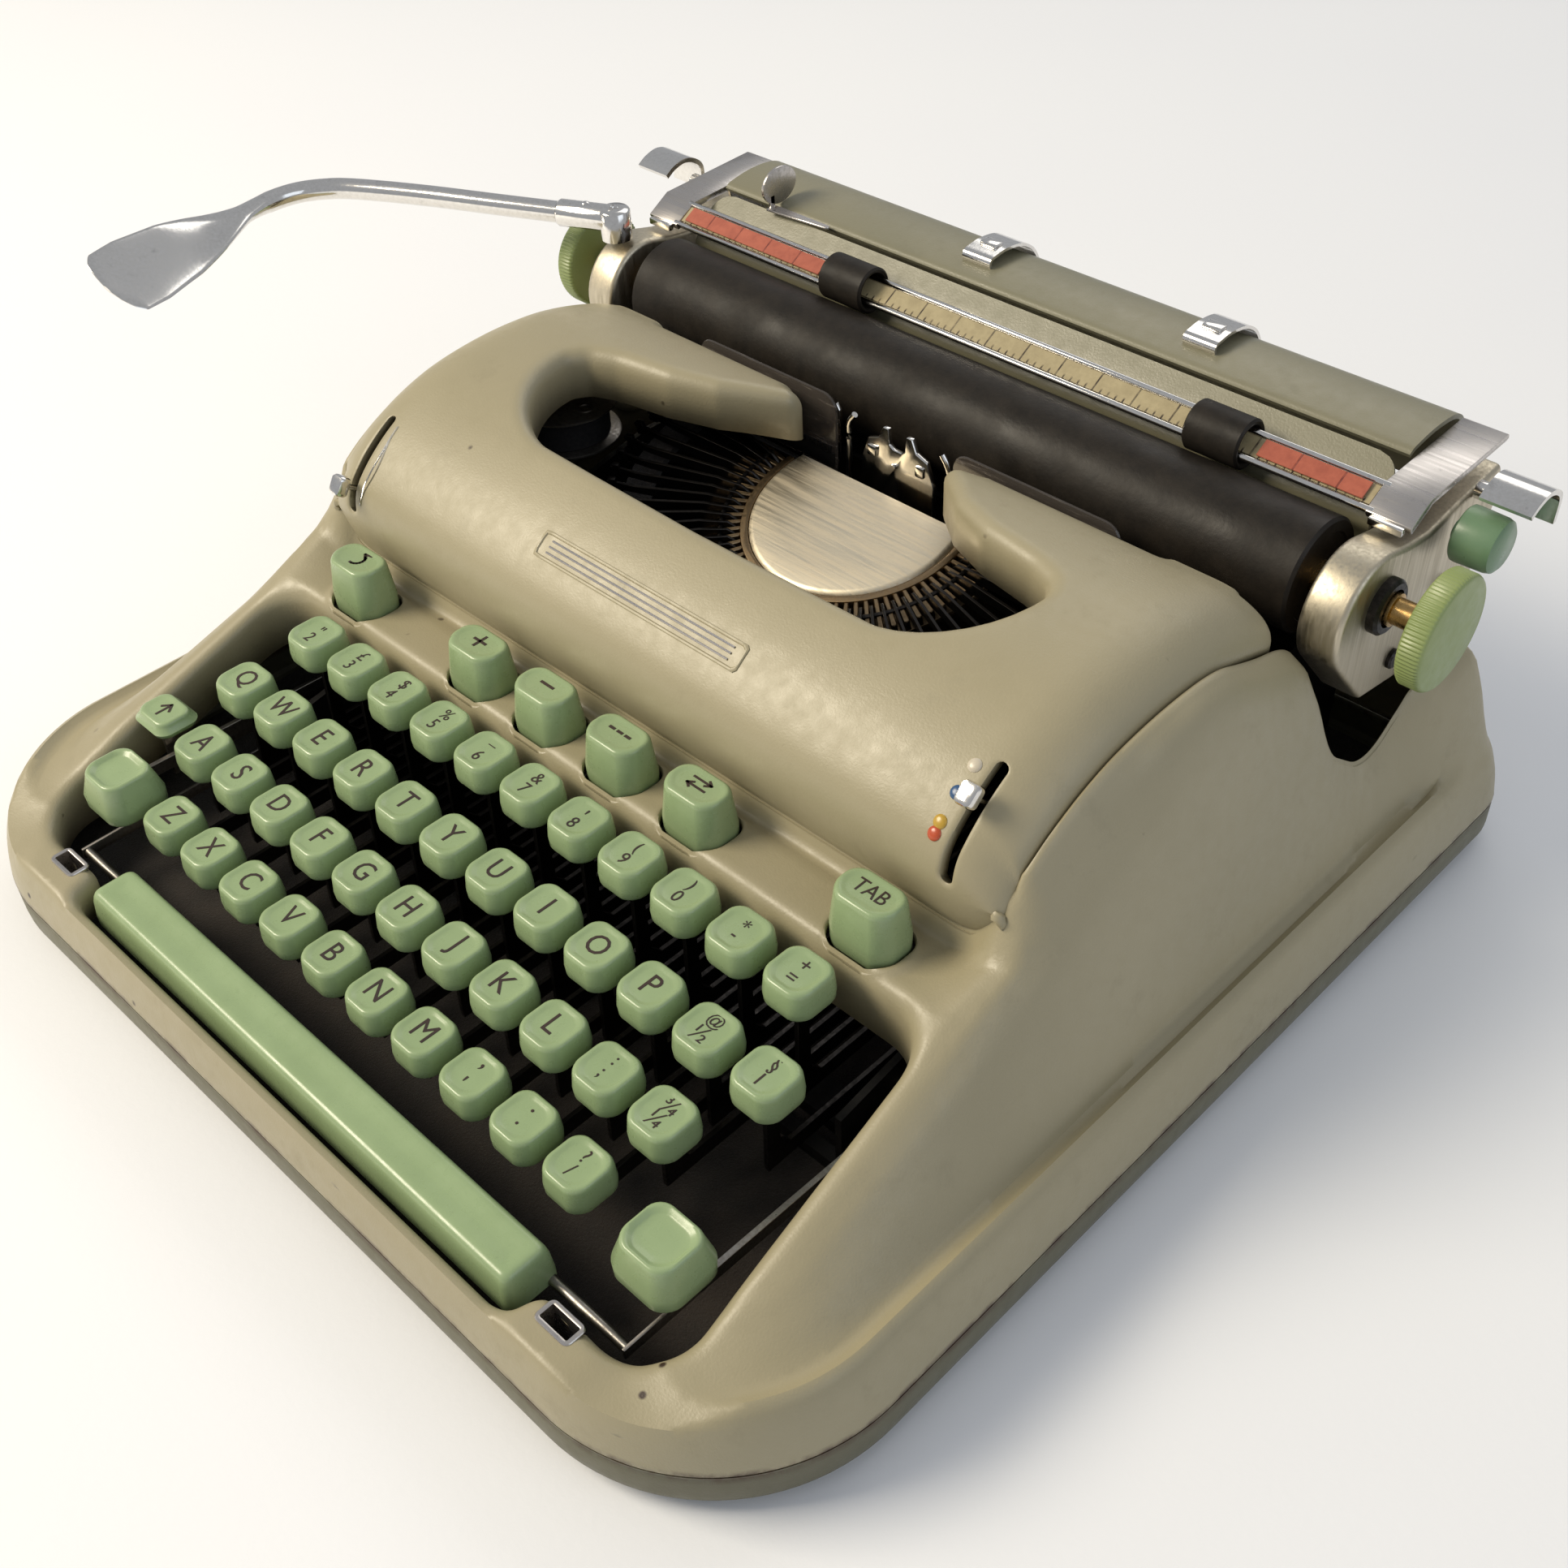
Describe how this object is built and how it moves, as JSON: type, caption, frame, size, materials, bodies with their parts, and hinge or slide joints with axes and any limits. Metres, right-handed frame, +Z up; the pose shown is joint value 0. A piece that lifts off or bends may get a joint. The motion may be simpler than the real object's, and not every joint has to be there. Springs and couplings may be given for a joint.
{
  "type": "portable typewriter",
  "caption": "Portable manual typewriter with a rounded grey-green body, mint keys, open type basket, sliding carriage, platen knobs and a long chrome line-return lever.",
  "frame": {"origin": "centre of the outer box at the underside of the rubber feet", "axes": "+X to the typist's right along the platen, +Y to the rear, +Z up"},
  "size_m": [0.3982, 0.3226, 0.1359],
  "materials": {
    "body_paint": "fine textured warm grey-green paint",
    "tray_paint": "worn olive-grey paint",
    "foot_rubber": "matte",
    "bright_chrome": "polished",
    "frame_steel": "blackened",
    "steel": "bare",
    "mint_plastic": "semi-gloss moulded, engraved legends",
    "segment_brass": "oiled",
    "typebar_steel": "blackened",
    "smoked_plastic": "transparent smoked plastic",
    "ribbon_black": "inked ribbon on black spools",
    "grey_metallic": "satin casting",
    "platen_rubber": "smooth ground rubber",
    "knob_green": "ribbed yellow-green",
    "table_green": "satin green-grey paint",
    "red_strip": "red scale strip",
    "button_green": "gloss"
  },
  "bodies": {
    "chassis": {"base_tray": "tray_paint", "rubber_foot_1": "foot_rubber", "rubber_foot_2": "foot_rubber", "rubber_foot_3": "foot_rubber", "rubber_foot_4": "foot_rubber", "body_shell": "body_paint", "top_cover": "body_paint", "latch_socket_left": "bright_chrome", "latch_socket_right": "bright_chrome", "main_frame": "frame_steel", "key_lever_shaft": "steel", "type_guide": "bright_chrome", "card_holder_left": "smoked_plastic", "card_holder_right": "smoked_plastic", "carriage_rail": "steel"},
    "type_basket": {"type_segment": "segment_brass", "typebar_set": "typebar_steel"},
    "carriage": {"carriage_frame": "grey_metallic", "paper_table": "table_green", "rear_shield": "table_green"},
    "platen_roller": {"platen": "platen_rubber", "platen_knob_left": "knob_green", "platen_knob_right": "knob_green"},
    "key_group_01": {"key_group_01": "mint_plastic"},
    "key_group_02": {"key_group_02": "mint_plastic"},
    "key_group_03": {"key_group_03": "mint_plastic"},
    "key_group_04": {"key_group_04": "mint_plastic"},
    "key_group_05": {"key_group_05": "mint_plastic"},
    "key_group_06": {"key_group_06": "mint_plastic"},
    "key_group_07": {"key_group_07": "mint_plastic"},
    "key_group_08": {"key_group_08": "mint_plastic"},
    "key_group_09": {"key_group_09": "mint_plastic"},
    "key_group_10": {"key_group_10": "mint_plastic"},
    "key_group_11": {"key_group_11": "mint_plastic"},
    "shift_key_left": {"shift_key_left": "mint_plastic"},
    "shift_key_right": {"shift_key_right": "mint_plastic"},
    "shift_lock_key": {"shift_lock_key": "mint_plastic"},
    "space_bar": {"space_bar": "mint_plastic"},
    "margin_release_key": {"margin_release_key": "mint_plastic"},
    "tab_set_key": {"tab_set_key": "mint_plastic"},
    "tab_clear_key": {"tab_clear_key": "mint_plastic"},
    "paragraph_key": {"paragraph_key": "mint_plastic"},
    "ribbon_reverse_key": {"ribbon_reverse_key": "mint_plastic"},
    "tabulator_key": {"tabulator_key": "mint_plastic"},
    "touch_lever": {"touch_lever": "bright_chrome"},
    "colour_selector": {"colour_selector": "bright_chrome"},
    "ribbon_spool_left": {"ribbon_spool_left": "ribbon_black"},
    "ribbon_spool_right": {"ribbon_spool_right": "ribbon_black"},
    "return_lever": {"return_lever": "bright_chrome"},
    "paper_bail": {"paper_bail": "bright_chrome"},
    "bail_roller_left": {"bail_roller_left": "platen_rubber"},
    "bail_roller_right": {"bail_roller_right": "platen_rubber"},
    "margin_stop_left": {"margin_stop_left": "bright_chrome"},
    "margin_strip_left": {"margin_strip_left": "red_strip"},
    "margin_stop_right": {"margin_stop_right": "bright_chrome"},
    "margin_strip_right": {"margin_strip_right": "red_strip"},
    "carriage_release_left": {"carriage_release_left": "bright_chrome"},
    "carriage_release_right": {"carriage_release_right": "bright_chrome"},
    "line_space_button": {"line_space_button": "button_green"},
    "paper_edge_guide": {"paper_edge_guide": "bright_chrome"}
  },
  "joints": [
    {"name": "key_group_01_press", "type": "hinge", "parent": "chassis", "child": "key_group_01", "pos_m": [0.0358, 0.11235, 0.024], "axis": [1, 0, 0], "range_deg": [0, 3], "stiffness_Nm_per_rad": 3, "springref_deg": -3.44},
    {"name": "key_group_02_press", "type": "hinge", "parent": "chassis", "child": "key_group_02", "pos_m": [0.0358, 0.11235, 0.024], "axis": [1, 0, 0], "range_deg": [0, 3], "stiffness_Nm_per_rad": 3, "springref_deg": -3.44},
    {"name": "key_group_03_press", "type": "hinge", "parent": "chassis", "child": "key_group_03", "pos_m": [0.0358, 0.11235, 0.024], "axis": [1, 0, 0], "range_deg": [0, 3], "stiffness_Nm_per_rad": 3, "springref_deg": -3.44},
    {"name": "key_group_04_press", "type": "hinge", "parent": "chassis", "child": "key_group_04", "pos_m": [0.0358, 0.11235, 0.024], "axis": [1, 0, 0], "range_deg": [0, 3], "stiffness_Nm_per_rad": 3, "springref_deg": -3.44},
    {"name": "key_group_05_press", "type": "hinge", "parent": "chassis", "child": "key_group_05", "pos_m": [0.0358, 0.11235, 0.024], "axis": [1, 0, 0], "range_deg": [0, 3], "stiffness_Nm_per_rad": 3, "springref_deg": -3.44},
    {"name": "key_group_06_press", "type": "hinge", "parent": "chassis", "child": "key_group_06", "pos_m": [0.0358, 0.11235, 0.024], "axis": [1, 0, 0], "range_deg": [0, 3], "stiffness_Nm_per_rad": 3, "springref_deg": -3.44},
    {"name": "key_group_07_press", "type": "hinge", "parent": "chassis", "child": "key_group_07", "pos_m": [0.0358, 0.11235, 0.024], "axis": [1, 0, 0], "range_deg": [0, 3], "stiffness_Nm_per_rad": 3, "springref_deg": -3.44},
    {"name": "key_group_08_press", "type": "hinge", "parent": "chassis", "child": "key_group_08", "pos_m": [0.0358, 0.11235, 0.024], "axis": [1, 0, 0], "range_deg": [0, 3], "stiffness_Nm_per_rad": 3, "springref_deg": -3.44},
    {"name": "key_group_09_press", "type": "hinge", "parent": "chassis", "child": "key_group_09", "pos_m": [0.0358, 0.11235, 0.024], "axis": [1, 0, 0], "range_deg": [0, 3], "stiffness_Nm_per_rad": 3, "springref_deg": -3.44},
    {"name": "key_group_10_press", "type": "hinge", "parent": "chassis", "child": "key_group_10", "pos_m": [0.0358, 0.11235, 0.024], "axis": [1, 0, 0], "range_deg": [0, 3], "stiffness_Nm_per_rad": 3, "springref_deg": -3.44},
    {"name": "key_group_11_press", "type": "hinge", "parent": "chassis", "child": "key_group_11", "pos_m": [0.0358, 0.11235, 0.024], "axis": [1, 0, 0], "range_deg": [0, 3], "stiffness_Nm_per_rad": 3, "springref_deg": -3.44},
    {"name": "shift_left_press", "type": "hinge", "parent": "chassis", "child": "shift_key_left", "pos_m": [0.0358, 0.11235, 0.024], "axis": [1, 0, 0], "range_deg": [0, 1.6], "stiffness_Nm_per_rad": 3, "springref_deg": -3.44},
    {"name": "shift_right_press", "type": "hinge", "parent": "chassis", "child": "shift_key_right", "pos_m": [0.0358, 0.11235, 0.024], "axis": [1, 0, 0], "range_deg": [0, 1.62], "stiffness_Nm_per_rad": 3, "springref_deg": -3.44},
    {"name": "shift_lock_press", "type": "hinge", "parent": "chassis", "child": "shift_lock_key", "pos_m": [0.0358, 0.11235, 0.024], "axis": [1, 0, 0], "range_deg": [0, 1.6], "stiffness_Nm_per_rad": 3, "springref_deg": -3.44},
    {"name": "space_bar_press", "type": "hinge", "parent": "chassis", "child": "space_bar", "pos_m": [0.0358, -0.04565, 0.0204], "axis": [1, 0, 0], "range_deg": [0, 2.8], "stiffness_Nm_per_rad": 3, "springref_deg": -5.73},
    {"name": "margin_release_press", "type": "slide", "parent": "chassis", "child": "margin_release_key", "axis": [0, 0, 1], "range_m": [-0.006, 0], "stiffness_N_per_m": 200, "springref_m": 0.003},
    {"name": "tab_set_press", "type": "slide", "parent": "chassis", "child": "tab_set_key", "axis": [0, 0, 1], "range_m": [-0.006, 0], "stiffness_N_per_m": 200, "springref_m": 0.003},
    {"name": "tab_clear_press", "type": "slide", "parent": "chassis", "child": "tab_clear_key", "axis": [0, 0, 1], "range_m": [-0.006, 0], "stiffness_N_per_m": 200, "springref_m": 0.003},
    {"name": "paragraph_press", "type": "slide", "parent": "chassis", "child": "paragraph_key", "axis": [0, 0, 1], "range_m": [-0.006, 0], "stiffness_N_per_m": 200, "springref_m": 0.003},
    {"name": "ribbon_reverse_press", "type": "slide", "parent": "chassis", "child": "ribbon_reverse_key", "axis": [0, 0, 1], "range_m": [-0.006, 0], "stiffness_N_per_m": 200, "springref_m": 0.003},
    {"name": "tabulator_press", "type": "slide", "parent": "chassis", "child": "tabulator_key", "axis": [0, 0, 1], "range_m": [-0.006, 0], "stiffness_N_per_m": 200, "springref_m": 0.003},
    {"name": "basket_shift", "type": "slide", "parent": "chassis", "child": "type_basket", "axis": [0, 0, 1], "range_m": [-0.0062, 0], "stiffness_N_per_m": 400, "springref_m": 0.012},
    {"name": "touch_swing", "type": "hinge", "parent": "chassis", "child": "touch_lever", "pos_m": [-0.0768, 0.01435, 0.06], "axis": [1, 0, 0], "range_deg": [-20, 0]},
    {"name": "colour_swing", "type": "hinge", "parent": "chassis", "child": "colour_selector", "pos_m": [0.1484, 0.01435, 0.06], "axis": [1, 0, 0], "range_deg": [-6, 13]},
    {"name": "spool_left_spin", "type": "hinge", "parent": "chassis", "child": "ribbon_spool_left", "pos_m": [-0.0682, 0.03835, 0.086], "axis": [0, 0, 1], "continuous": true},
    {"name": "spool_right_spin", "type": "hinge", "parent": "chassis", "child": "ribbon_spool_right", "pos_m": [0.1398, 0.03835, 0.086], "axis": [0, 0, 1], "continuous": true},
    {"name": "carriage_travel", "type": "slide", "parent": "chassis", "child": "carriage", "axis": [1, 0, 0], "range_m": [-0.11, 0.11]},
    {"name": "platen_turn", "type": "hinge", "parent": "carriage", "child": "platen_roller", "pos_m": [0.0358, 0.09885, 0.1], "axis": [1, 0, 0], "continuous": true},
    {"name": "line_return", "type": "hinge", "parent": "carriage", "child": "return_lever", "pos_m": [-0.0982, 0.09035, 0.1225], "axis": [0, 0, 1], "range_deg": [0, 30], "stiffness_Nm_per_rad": 0.4, "springref_deg": -8.59},
    {"name": "bail_lift", "type": "hinge", "parent": "carriage", "child": "paper_bail", "pos_m": [0.0358, 0.14235, 0.103], "axis": [1, 0, 0], "range_deg": [-15, 0]},
    {"name": "bail_roller_left_spin", "type": "hinge", "parent": "paper_bail", "child": "bail_roller_left", "pos_m": [-0.0162, 0.11295, 0.1186], "axis": [1, 0, 0], "continuous": true},
    {"name": "bail_roller_right_spin", "type": "hinge", "parent": "paper_bail", "child": "bail_roller_right", "pos_m": [0.1158, 0.11295, 0.1186], "axis": [1, 0, 0], "continuous": true},
    {"name": "margin_stop_left_slide", "type": "slide", "parent": "carriage", "child": "margin_stop_left", "axis": [1, 0, 0], "range_m": [-0.02, 0.03]},
    {"name": "margin_strip_left_slide", "type": "slide", "parent": "paper_bail", "child": "margin_strip_left", "axis": [1, 0, 0], "range_m": [-0.02, 0.03]},
    {"name": "margin_stop_right_slide", "type": "slide", "parent": "carriage", "child": "margin_stop_right", "axis": [1, 0, 0], "range_m": [-0.03, 0.02]},
    {"name": "margin_strip_right_slide", "type": "slide", "parent": "paper_bail", "child": "margin_strip_right", "axis": [1, 0, 0], "range_m": [-0.03, 0.02]},
    {"name": "carriage_release_left_press", "type": "hinge", "parent": "carriage", "child": "carriage_release_left", "pos_m": [-0.1142, 0.13935, 0.114], "axis": [1, 0, 0], "range_deg": [0, 10], "stiffness_Nm_per_rad": 0.3, "springref_deg": -5.73},
    {"name": "carriage_release_right_press", "type": "hinge", "parent": "carriage", "child": "carriage_release_right", "pos_m": [0.1858, 0.13935, 0.114], "axis": [1, 0, 0], "range_deg": [0, 10], "stiffness_Nm_per_rad": 0.3, "springref_deg": -5.73},
    {"name": "line_space_button_press", "type": "slide", "parent": "carriage", "child": "line_space_button", "axis": [1, 0, 0], "range_m": [-0.002, 0], "stiffness_N_per_m": 300, "springref_m": 0.002},
    {"name": "paper_edge_guide_slide", "type": "slide", "parent": "carriage", "child": "paper_edge_guide", "axis": [1, 0, 0], "range_m": [-0.01, 0.02]}
  ],
  "couplings": [
    {"joint": "shift_right_press", "follows": "shift_left_press", "ratio": 1},
    {"joint": "basket_shift", "follows": "shift_left_press", "m_per_rad": -0.215},
    {"joint": "margin_strip_left_slide", "follows": "margin_stop_left_slide", "ratio": 1},
    {"joint": "margin_strip_right_slide", "follows": "margin_stop_right_slide", "ratio": 1}
  ]
}
